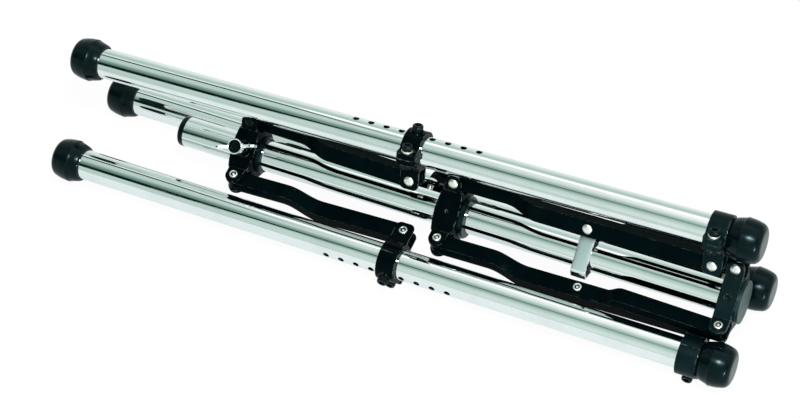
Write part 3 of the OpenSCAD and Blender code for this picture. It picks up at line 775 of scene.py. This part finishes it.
def wing_blades():
    """Both blades, each a plate with a rounded tip, thinner toward the tip. The outline of a
    blade goes out along its foot, round its tip and back along its top."""
    lobe = (WING_HALF - WING_TIP_R, WING_H - WING_TIP_R)
    side = [(BARREL_R * 0.8, 0.0), (WING_HALF * 0.62, 3.2 * MM)]
    for degrees in WING_TIP_ANGLES:
        angle = math.radians(degrees)
        side.append((lobe[0] + WING_TIP_R * math.cos(angle),
                     lobe[1] + WING_TIP_R * math.sin(angle)))
    side += [(WING_HALF * 0.5, WING_H * 0.72), (BARREL_R * 0.8, WING_H * 0.6)]
    mesh = bmesh.new()
    for way in (-1, 1):
        rims = []
        for face in (-1, 1):
            loop = [mesh.verts.new((way * x, face * WING_T * (0.5 - WING_THINS * x / WING_HALF),
                                    WING_BASE + z)) for x, z in side]
            mesh.faces.new(loop)
            rims.append(loop)
        for i in range(len(side)):
            k = (i + 1) % len(side)
            mesh.faces.new((rims[0][i], rims[0][k], rims[1][k], rims[1][i]))
    blades = mesh_object("wing_blades", mesh, WING_CHROME)
    soften = blades.modifiers.new("rounded_rims", "BEVEL")
    soften.width = WING_RIM
    soften.segments = WING_RIM_STEPS
    soften.limit_method = "ANGLE"
    soften.angle_limit = math.radians(WING_RIM_CREASE)
    return blades


def wing_barrel():
    """The screw's thread, its barrel over the thread, and the bore in the barrel's top."""
    top = WING_BASE + BARREL_H
    thread = [(TUBE_R + 0.3 * MM, 2.6 * MM),
              *thread_rings(TUBE_R + 0.6 * MM, WING_BASE - 0.5 * MM)]
    barrel = [(WING_BASE, PIN_R), *profile(WING_BASE, BARREL_R, (0, -1.2), (0.8, -0.5), (3, 0)),
              *profile(top, BARREL_R, (-0.7, 0), (-0.2, -0.2), (0, -0.6)),
              *profile(top, BORE_R, (-0.2, 0.15), (-0.7, 0), (-1.4, 0), (-6.4, -0.2))]
    middle = [*profile(top, PIN_R, (-7.0, 0.2), (-7.0, -0.3), (-4.5, -0.4), (-4.0, -0.9)),
              (top - 4.0 * MM, 0.1 * MM)]
    body = ring_body("wing_barrel", thread + barrel + middle, WING_CHROME)
    # The bore in the barrel's top is painted dark: painted shade.
    paint_recess_shade(body, inner=0.0, outer=BORE_R + 0.05 * MM, low=WING_BASE + 1 * MM,
           high=top - 1.2 * MM)
    return body


def make_wing_screw():
    axis = joint_axis("wing_turn")
    turn = Matrix((ALONG_STAND, axis.cross(ALONG_STAND), axis)).transposed().to_4x4()
    foot = joint_place("wing_turn") - axis * WING_BASE
    slant = Matrix.Rotation(math.radians(WING_SLANT), 4, "Z")
    place = Matrix.Translation(foot) @ turn @ slant
    for piece in (wing_barrel(), wing_blades()):
        piece.matrix_world = place
        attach(piece, "wing")
        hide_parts("wing_screw")


# Rubber caps of the legs, crowned between ridge and shoulder, in place of their plain solids.
# Heights are along the leg from the ridge, and the shoulder is a round edge to the end face.

CAP_R = 20.2 * MM
CAP_LEN = 18.48 * MM
CAP_SKIRT = 11.0 * MM
CAP_SEAT = 11.75 * MM
CAP_CROWN = 0.45 * MM
CAP_CREASE = 20
CROWN_START = 0.8 * MM
CROWN_STEPS = 8
CROWN_EASE = 0.08 * MM
SHOULDER = 11.5 * MM
SHOULDER_R = 6.98 * MM
SHOULDER_ANGLES = range(14, 90, 8)  # degrees toward the end face
FOOT_LIP = 1.05 * MM


def cap_rings(lip):
    """A cup from the floor of its bore, out at its mouth and over its ridge to the end face."""
    bore = TUBE_R + 0.03 * MM
    mouth = -CAP_SKIRT - lip
    rings = [(CAP_SEAT, 0.1 * MM), (CAP_SEAT, bore), (mouth, bore),
             *profile(mouth, 0.0, (0, 15.4), (0.3, 15.9)),
             *profile(-CAP_SKIRT, 0.0, (0.4, 16.4), (1.5, 17.2)),
             *profile(0.0, 0.0, (-5.0, 18.5), (-1.2, 19.5), (-0.5, 19.85)),
             *profile(0.0, CAP_R, (0, 0), (0.5, 0))]
    shoulder = []
    for degrees in SHOULDER_ANGLES:
        angle = math.radians(degrees)
        shoulder.append((SHOULDER + SHOULDER_R * math.sin(angle),
                         SHOULDER + SHOULDER_R * math.cos(angle)))
    far_height, far_radius = shoulder[0]
    for step in range(1, CROWN_STEPS):
        t = step / CROWN_STEPS
        rings.append((CROWN_START + (far_height - CROWN_START) * t,
                      CAP_R + (far_radius - CAP_R) * t - CROWN_EASE * (1 - t)
                      + CAP_CROWN * math.sin(math.pi * t)))
    return rings + shoulder + [(CAP_LEN, SHOULDER), (CAP_LEN, 0.1 * MM)]


def make_cap(name, node, leg, way, lip):
    """A cap on the end of a leg: way is 1 at the foot and -1 at the top."""
    outward = joint_axis(f"leg_{leg}_slide") * way
    start = clamp_frame(leg, f"clamps_{leg}_turn").translation
    reach = max((corner.co - start).dot(outward) for corner in nodes[node].data.vertices)
    level = (Vector((0, 1, 0)) - outward * outward.y).normalized()
    turn = Matrix((level.cross(outward), level, outward)).transposed().to_4x4()
    cap = ring_body(name, cap_rings(lip), RUBBER, CAP_CREASE)
    cap.matrix_world = Matrix.Translation(start + outward * (reach - CAP_LEN)) @ turn
    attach(cap, f"leg_{leg}")
    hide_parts(node)


make_stop_band()
make_end_plug()
make_wing_screw()
for leg_name in LEGS:
    make_cap(f"foot_cap_{leg_name}", f"foot_{leg_name}", leg_name, 1, FOOT_LIP)
    make_cap(f"top_cap_{leg_name}", f"top_tip_{leg_name}", leg_name, -1, 0.0)


# Studio: a white floor, a pale surround with dark gaps on the camera's side, and soft boxes.

FLOOR_SIZE = 14.0
WHITE = (1.0, 1.0, 1.0)

# The floor as the metal mirrors it, and the two places along Y that its colours fade between.
NEAR_FLOOR = (0.778, 0.851, 0.861)
FAR_FLOOR = (0.43, 0.575, 0.52)
FLOOR_FADE = (-0.55, -0.22)

# How much of the floor's own light the camera and the mirroring metal see. The rest is lit, and
# holds the shadows.
FLOOR_SEEN = 0.955
FLOOR_MIRRORED = 0.8


def make_floor():
    bpy.ops.mesh.primitive_plane_add(size=FLOOR_SIZE, location=(0, 0, 0))
    floor = bpy.context.object
    floor.name = "floor"
    material, tree, shader, place = start_material(
        "white_floor", Base_Color=(0.93, 0.94, 0.94, 1), Roughness=0.9, Specular_IOR_Level=0.1)
    parts = tree.nodes.new("ShaderNodeSeparateXYZ")
    tree.links.new(place, parts.inputs[0])
    near = above(tree, parts.outputs["Y"], *FLOOR_FADE)
    ray = tree.nodes.new("ShaderNodeLightPath")
    mirrored_floor = blend_colour(tree, near, FAR_FLOOR, NEAR_FLOOR)
    white = add(tree, "ShaderNodeEmission", Strength=1.0)
    tree.links.new(blend_colour(tree, ray.outputs["Is Camera Ray"], mirrored_floor, WHITE),
                   white.inputs["Color"])
    seen = math_node(tree, "MULTIPLY", ray.outputs["Is Camera Ray"], FLOOR_SEEN)
    mirrored = math_node(tree, "MULTIPLY", ray.outputs["Is Glossy Ray"], FLOOR_MIRRORED)
    surface = mix_shaders(tree, math_node(tree, "MAXIMUM", seen, mirrored), shader.outputs[0],
                          white.outputs[0])
    tree.links.new(surface, tree.nodes["Material Output"].inputs["Surface"])
    floor.data.materials.append(material)


# The surround's brightness by height, as 0 to 255 on screen: 0 degrees is the horizon in front,
# 90 is overhead and 180 is behind. One list is for the left of the room and one for the right.
LEFT_SURROUND = ((-180, 240), (-35, 230), (-15, 205), (35, 205), (45, 105), (63, 155), (78, 205),
                 (110, 205), (118, 235), (128, 185), (150, 210), (180, 240))
RIGHT_SURROUND = ((-180, 230), (-60, 240), (-20, 225), (18, 225), (42, 200), (56, 165), (71, 200),
                  (94, 245), (121, 250), (136, 195), (150, 200), (180, 230))
# How far red falls below green at each brightness: pale greens in the middle, neutral at both
# ends. Blue falls by a share of that. The chrome gives back a share of the light that it mirrors.
TINT = ((0, 0), (50, 15), (100, 25), (150, 29), (205, 22), (255, 0))
BLUE_SHARE = 0.32
CHROME_SHARE = 0.89

# A ray whose X is over the first of these sees only the right of the room, and one whose X is
# below the second sees only the left.
SIDES = (-0.23, -0.4)

# The surround's two dark gaps, a broad one and a thin line: where each starts and how wide it is,
# in degrees of height, on the right and on the left. A curve over 1 keeps the right's value for
# longer. The broad gap is paler on the right, and full dark from part of the way to the left.
DARK_GAP = (0.003, 0.012, 0.009)
GAP_START, GAP_START_CURVE = (54.5, 26.0), 3.3
GAP_WIDTH, GAP_WIDTH_CURVE = (4.5, 19.0), 5.0
GAP_DEPTH_ON_RIGHT, GAP_FULL_AT = 0.4, 0.5
LINE_START, LINE_START_CURVE = (61.5, 101.5), 1.3
LINE_WIDTH = 8.5
LINE_RANGE = (0.6, 1.0)
GAP_NEAR_EDGE, GAP_FAR_EDGE = 0.7, 1.2


def between(points, x):
    for (x0, y0), (x1, y1) in zip(points, points[1:]):
        if x <= x1:
            return y0 + (y1 - y0) * (x - x0) / (x1 - x0)
    return points[-1][1]


def linear(value):
    """A brightness on screen, 0 to 255, as light."""
    value /= 255
    return value / 12.92 if value <= 0.04045 else ((value + 0.055) / 1.055) ** 2.4


def surround_colour(level):
    fall = between(TINT, level)
    shades = (level - fall, level, level - BLUE_SHARE * fall)
    return tuple(linear(v) / CHROME_SHARE for v in shades)


def height_ramp(tree, height, levels):
    ramp = tree.nodes.new("ShaderNodeValToRGB")
    stops = ramp.color_ramp.elements
    for number, (degrees, level) in enumerate(levels):
        place = (degrees + 180) / 360
        stop = stops[number] if number < 2 else stops.new(place)
        stop.position = place
        stop.color = (*surround_colour(level), 1)
    tree.links.new(height, ramp.inputs[0])
    return ramp.outputs["Color"]


def gap_mask(tree, degrees, start, width):
    """1 in the gap that begins at start and is as wide as width, 0 elsewhere."""
    inside = math_node(tree, "SUBTRACT", degrees, start)
    after_start = above(tree, inside, -GAP_NEAR_EDGE, GAP_NEAR_EDGE)
    beyond = math_node(tree, "SUBTRACT", inside, width)
    before_end = above(tree, beyond, GAP_FAR_EDGE, -GAP_FAR_EDGE)
    return math_node(tree, "MULTIPLY", after_start, before_end)


def dark_gaps(tree, degrees, side):
    """1 in the gaps of the surround, 0 elsewhere; side is 0 on the right and 1 on the left."""
    start = blend_value(tree, math_node(tree, "POWER", side, GAP_START_CURVE), *GAP_START)
    width = blend_value(tree, math_node(tree, "POWER", side, GAP_WIDTH_CURVE), *GAP_WIDTH)
    depth = add(tree, "ShaderNodeMapRange", From_Max=GAP_FULL_AT, To_Min=GAP_DEPTH_ON_RIGHT,
                To_Max=1.0)
    tree.links.new(side, depth.inputs["Value"])
    gap = math_node(tree, "MULTIPLY", gap_mask(tree, degrees, start, width),
                    depth.outputs["Result"])
    line_start = blend_value(tree, math_node(tree, "POWER", side, LINE_START_CURVE), *LINE_START)
    line = math_node(tree, "MULTIPLY", gap_mask(tree, degrees, line_start, LINE_WIDTH),
                     above(tree, side, *LINE_RANGE))
    return math_node(tree, "MAXIMUM", gap, line)


def make_surround():
    world = bpy.data.worlds.new("studio_surround")
    bpy.context.scene.world = world
    world.use_nodes = True
    tree = world.node_tree
    tree.nodes.clear()
    parts = tree.nodes.new("ShaderNodeSeparateXYZ")
    tree.links.new(tree.nodes.new("ShaderNodeTexCoord").outputs["Generated"], parts.inputs[0])
    forward = math_node(tree, "MULTIPLY", parts.outputs["Y"], -1.0)
    angle = math_node(tree, "ARCTAN2", parts.outputs["Z"], forward)
    turns = math_node(tree, "DIVIDE", angle, 2 * math.pi)
    height = math_node(tree, "ADD", turns, 0.5)
    leftward = add(tree, "ShaderNodeMapRange", From_Min=SIDES[0], From_Max=SIDES[1])
    tree.links.new(parts.outputs["X"], leftward.inputs["Value"])
    side = leftward.outputs["Result"]
    pale = blend_colour(tree, side, height_ramp(tree, height, RIGHT_SURROUND),
                        height_ramp(tree, height, LEFT_SURROUND))
    dark = dark_gaps(tree, math_node(tree, "MULTIPLY", turns, 360.0), side)
    light = tree.nodes.new("ShaderNodeBackground")
    tree.links.new(blend_colour(tree, dark, pale, DARK_GAP), light.inputs["Color"])
    white = add(tree, "ShaderNodeBackground", Color=(*WHITE, 1), Strength=1.0)
    seen = tree.nodes.new("ShaderNodeLightPath").outputs["Is Camera Ray"]
    out = tree.nodes.new("ShaderNodeOutputWorld")
    tree.links.new(mix_shaders(tree, seen, light.outputs[0], white.outputs[0]),
                   out.inputs["Surface"])


def soft_box(name, shape, place, aim, size, watts):
    data = bpy.data.lights.new(name, "AREA")
    data.shape = shape
    data.size, data.size_y = size
    data.energy = watts
    lamp = bpy.data.objects.new(name, data)
    bpy.context.scene.collection.objects.link(lamp)
    lamp.location = place
    lamp.rotation_euler = (Vector(aim) - Vector(place)).to_track_quat("-Z", "Y").to_euler()
    lamp.visible_camera = False


make_floor()
make_surround()
soft_box("overhead_soft_box", "RECTANGLE", place=(0.13, 0.85, 1.9), aim=(0.13, 0.0, 0.05),
         size=(2.16, 0.55), watts=1.6)
soft_box("front_soft_box", "ELLIPSE", place=(0.6, -0.95, 1.85), aim=(0.33, 0.0, 0.05),
         size=(0.34, 0.34), watts=34.0)
soft_box("low_side_soft_box", "ELLIPSE", place=(1.66, -1.65, 0.23), aim=(0.05, 0.0, 0.07),
         size=(0.26, 0.26), watts=24.0)


# Camera, at the photograph's viewing angle. Angles are degrees, the lens is millimetres.

CAMERA_AIM = (0.0033, -0.0159, 0.0571)
CAMERA_DISTANCE = 2.3133
CAMERA_AZIMUTH = 26.918
CAMERA_ELEVATION = 45.199
CAMERA_ROLL = -2.631
CAMERA_LENS = 113.82
CAMERA_SENSOR = 36.0


def make_camera():
    data = bpy.data.cameras.new("camera")
    data.sensor_width = CAMERA_SENSOR
    data.lens = CAMERA_LENS
    camera = bpy.data.objects.new("camera", data)
    bpy.context.scene.collection.objects.link(camera)
    azimuth, elevation = math.radians(CAMERA_AZIMUTH), math.radians(CAMERA_ELEVATION)
    forward = Vector((-math.sin(azimuth) * math.cos(elevation),
                      math.cos(azimuth) * math.cos(elevation), -math.sin(elevation)))
    level = forward.to_track_quat("-Z", "Y").to_matrix().to_4x4()
    roll = Matrix.Rotation(math.radians(CAMERA_ROLL), 4, "Z")
    place = Matrix.Translation(Vector(CAMERA_AIM) - forward * CAMERA_DISTANCE)
    camera.matrix_world = place @ level @ roll
    bpy.context.scene.camera = camera


make_camera()
bpy.context.scene.view_settings.view_transform = "Standard"

bpy.context.view_layer.update()
